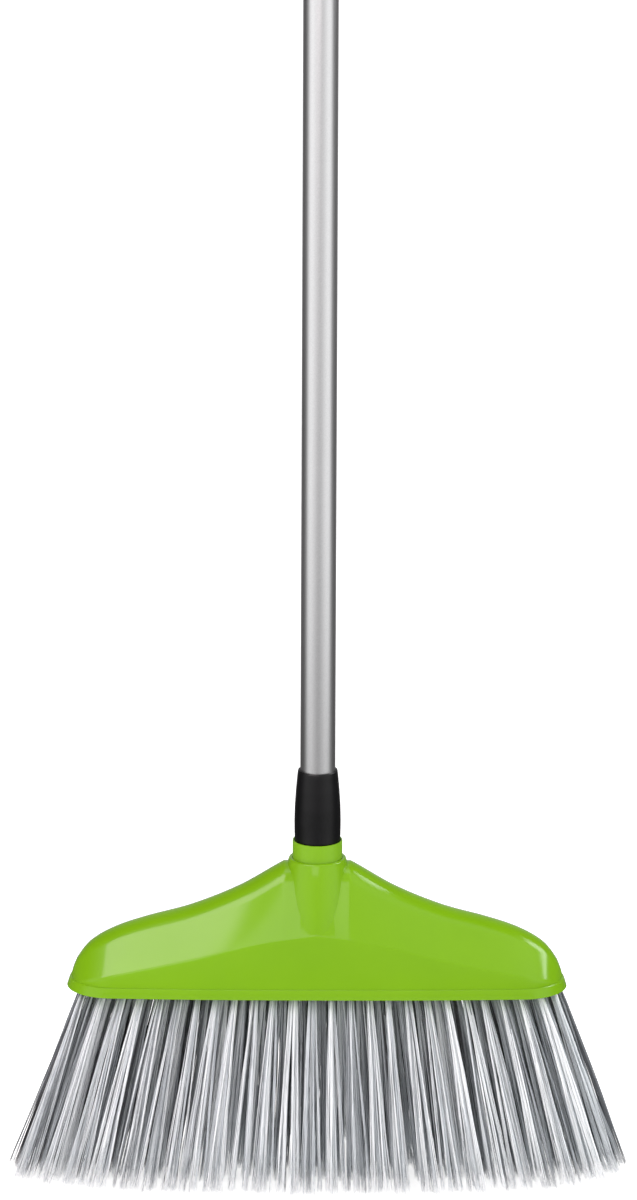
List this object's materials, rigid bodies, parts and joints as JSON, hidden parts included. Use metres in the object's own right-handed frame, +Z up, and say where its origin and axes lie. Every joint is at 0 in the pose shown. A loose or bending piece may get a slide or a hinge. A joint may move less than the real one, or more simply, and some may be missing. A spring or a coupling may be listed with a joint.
{
  "type": "broom",
  "caption": "Household broom: a moulded head with fanned bristles and a metal handle that screws into its neck.",
  "frame": {"origin": "on the floor, under the middle of the bristles and the handle's axis", "axes": "+Z up along the handle, +X along the head, -Y towards the front"},
  "size_m": [0.3938, 0.1, 1.4335],
  "materials": {
    "cover": "gloss",
    "block": "satin",
    "bristles": "matte",
    "ferrule": "satin",
    "adapter": "satin",
    "tube": "satin",
    "cap": "satin"
  },
  "bodies": {
    "head": {"head_cover": "cover", "tuft_block": "block", "tufts_row_1_group_1": "bristles", "tufts_row_1_group_2": "bristles", "tufts_row_1_group_3": "bristles", "tufts_row_1_group_4": "bristles", "tufts_row_1_group_5": "bristles", "tufts_row_2_group_1": "bristles", "tufts_row_2_group_2": "bristles", "tufts_row_2_group_3": "bristles", "tufts_row_2_group_4": "bristles", "tufts_row_2_group_5": "bristles", "tufts_row_3_group_1": "bristles", "tufts_row_3_group_2": "bristles", "tufts_row_3_group_3": "bristles", "tufts_row_3_group_4": "bristles", "tufts_row_3_group_5": "bristles", "tufts_row_4_group_1": "bristles", "tufts_row_4_group_2": "bristles", "tufts_row_4_group_3": "bristles", "tufts_row_4_group_4": "bristles", "tufts_row_4_group_5": "bristles", "tufts_row_5_group_1": "bristles", "tufts_row_5_group_2": "bristles", "tufts_row_5_group_3": "bristles", "tufts_row_5_group_4": "bristles", "tufts_row_5_group_5": "bristles"},
    "ferrule": {"ferrule_sleeve": "ferrule"},
    "handle": {"thread_adapter": "adapter", "handle_tube": "tube", "hang_cap": "cap"}
  },
  "joints": [
    {"name": "handle_lift", "type": "slide", "parent": "head", "child": "ferrule", "axis": [0, 0, 1], "range_m": [0, 0.0315]},
    {"name": "handle_turn", "type": "hinge", "parent": "ferrule", "child": "handle", "pos_m": [0, 0, 0.2185], "axis": [0, 0, 1], "range_deg": [0, 2521]}
  ],
  "couplings": [
    {"joint": "handle_turn", "follows": "handle_lift", "rad_per_m": 1396.3}
  ]
}
